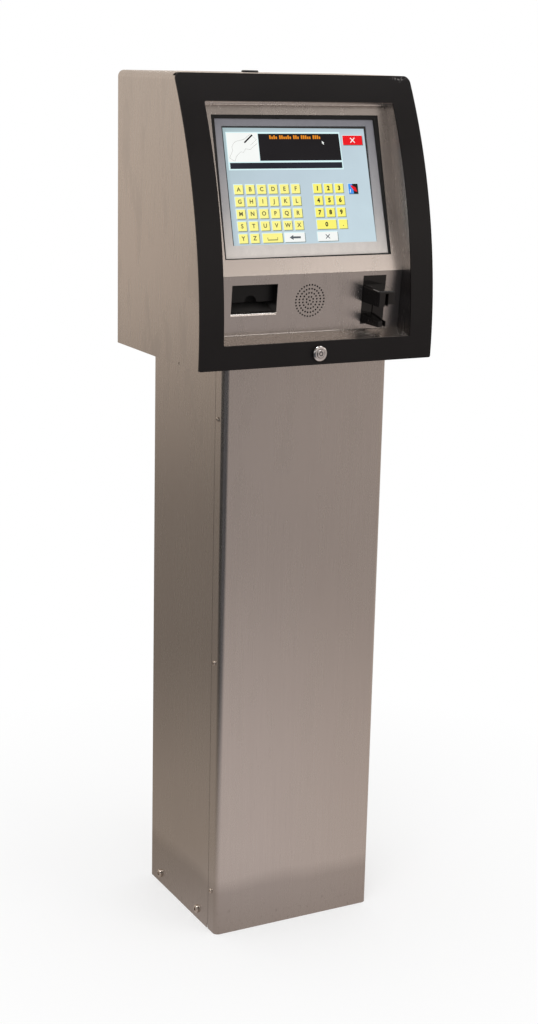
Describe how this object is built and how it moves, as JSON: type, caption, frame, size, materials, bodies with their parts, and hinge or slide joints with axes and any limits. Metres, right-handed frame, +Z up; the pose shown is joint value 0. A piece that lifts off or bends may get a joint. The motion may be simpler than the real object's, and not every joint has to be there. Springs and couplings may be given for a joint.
{
  "type": "ticket vending machine",
  "caption": "Ticket machine with a curved-front head on a sheet-metal pedestal: top-hinged door with a recessed touch screen, ticket tray, speaker grille and card reader.",
  "frame": {"origin": "on the floor, at the middle of the pedestal's footprint", "axes": "+X to the user's right, +Y towards the back, +Z up"},
  "size_m": [0.4, 0.3138, 1.3599],
  "materials": {
    "stainless": "brushed stainless sheet",
    "stainless_hardware": "plain stainless",
    "zinc_steel": "zinc-plated",
    "black_paint": "satin black",
    "black_plastic": "matt black",
    "grey_plastic": "light grey",
    "rubber": "black rubber",
    "silver_frame": "satin silver",
    "screen_glass": "lit touch screen",
    "speaker_paper": "dark cone and basket",
    "chrome": "bright plated",
    "paper": "thermal paper"
  },
  "bodies": {
    "machine": {"base_bracket": "zinc_steel", "base_side_screws": "stainless_hardware", "cable_bush": "rubber", "pedestal_shell": "stainless", "pedestal_front_cover": "stainless", "cover_screws": "stainless_hardware", "cover_nuts": "zinc_steel", "pedestal_top_plate": "zinc_steel", "head_bolts": "zinc_steel", "head_nuts": "zinc_steel", "din_rail": "zinc_steel", "circuit_breaker": "grey_plastic", "terminal_blocks": "grey_plastic", "power_cable": "rubber", "cable_clips": "black_plastic", "head_shell": "stainless", "head_floor": "zinc_steel", "head_front_jamb": "zinc_steel", "door_seal": "rubber", "back_panel": "zinc_steel", "back_panel_screws": "stainless_hardware", "top_plug": "black_plastic", "hinge_fixed_leaf": "stainless_hardware", "hinge_pin": "stainless_hardware", "strut_head_brackets": "zinc_steel", "controller_box": "silver_frame", "controller_standoffs": "zinc_steel", "power_supply": "zinc_steel", "fan_frame": "black_plastic", "printer_stand": "zinc_steel", "printer_body": "black_plastic", "printer_pins": "zinc_steel"},
    "front_door": {"door_frame": "black_paint", "recess_panel": "stainless", "screen_gasket": "rubber", "screen_frame": "silver_frame", "screen_glass": "screen_glass", "screen_chassis": "zinc_steel", "screen_brackets": "zinc_steel", "screen_nuts": "zinc_steel", "speaker": "speaker_paper", "ticket_chute": "black_plastic", "card_reader_bezel": "black_plastic", "card_reader_body": "black_plastic", "hinge_door_leaf": "stainless_hardware", "lock_barrel": "chrome", "lock_nut": "zinc_steel", "strut_door_brackets": "zinc_steel"},
    "lock_core": {"lock_plug": "chrome", "lock_cam": "zinc_steel", "cam_screw": "zinc_steel"},
    "left_strut_tube": {"strut_cylinder_left": "black_paint"},
    "left_strut_rod": {"strut_rod_left": "stainless_hardware"},
    "right_strut_tube": {"strut_cylinder_right": "black_paint"},
    "right_strut_rod": {"strut_rod_right": "stainless_hardware"},
    "fan_rotor": {"fan_impeller": "black_plastic"},
    "printer_cover": {"printer_lid": "grey_plastic"},
    "paper": {"paper_roll": "paper"},
    "platen": {"platen_roller": "rubber"},
    "breaker_switch": {"breaker_toggle": "black_plastic"}
  },
  "joints": [
    {"name": "door_hinge", "type": "hinge", "parent": "machine", "child": "front_door", "pos_m": [0, -0.05943, 1.3532], "axis": [-1, 0, 0], "range_deg": [0, 80]},
    {"name": "lock_turn", "type": "hinge", "parent": "front_door", "child": "lock_core", "pos_m": [0, -0.1603, 0.9495], "axis": [0, 1, 0], "range_deg": [0, 90]},
    {"name": "left_strut_swing", "type": "hinge", "parent": "machine", "child": "left_strut_tube", "pos_m": [-0.172, 0.04, 1.294], "axis": [-1, 0, 0], "range_deg": [0, 10]},
    {"name": "left_strut_slide", "type": "slide", "parent": "left_strut_tube", "child": "left_strut_rod", "axis": [0, -0.9742, 0.2255], "range_m": [0, 0.0402]},
    {"name": "right_strut_swing", "type": "hinge", "parent": "machine", "child": "right_strut_tube", "pos_m": [0.172, 0.04, 1.294], "axis": [-1, 0, 0], "range_deg": [0, 10]},
    {"name": "right_strut_slide", "type": "slide", "parent": "right_strut_tube", "child": "right_strut_rod", "axis": [0, -0.9742, 0.2255], "range_m": [0, 0.0402]},
    {"name": "fan_spin", "type": "hinge", "parent": "machine", "child": "fan_rotor", "pos_m": [0.11, 0.13, 1.042], "axis": [0, 1, 0], "continuous": true},
    {"name": "printer_cover_hinge", "type": "hinge", "parent": "machine", "child": "printer_cover", "pos_m": [-0.095, 0.026, 1.035], "axis": [-1, 0, 0], "range_deg": [0, 100]},
    {"name": "paper_spin", "type": "hinge", "parent": "machine", "child": "paper", "pos_m": [-0.095, -0.015, 1.03], "axis": [1, 0, 0], "continuous": true},
    {"name": "platen_spin", "type": "hinge", "parent": "machine", "child": "platen", "pos_m": [-0.095, -0.07, 1.0255], "axis": [1, 0, 0], "continuous": true},
    {"name": "breaker_flip", "type": "hinge", "parent": "machine", "child": "breaker_switch", "pos_m": [0, 0.062, 0.3], "axis": [1, 0, 0], "range_deg": [0, 40]}
  ],
  "couplings": [
    {"joint": "left_strut_swing", "follows": "door_hinge", "ratio": 0.12489},
    {"joint": "left_strut_slide", "follows": "door_hinge", "m_per_rad": 0.028692},
    {"joint": "right_strut_swing", "follows": "door_hinge", "ratio": 0.12489},
    {"joint": "right_strut_slide", "follows": "door_hinge", "m_per_rad": 0.028692},
    {"joint": "platen_spin", "follows": "paper_spin", "ratio": 5.6}
  ]
}
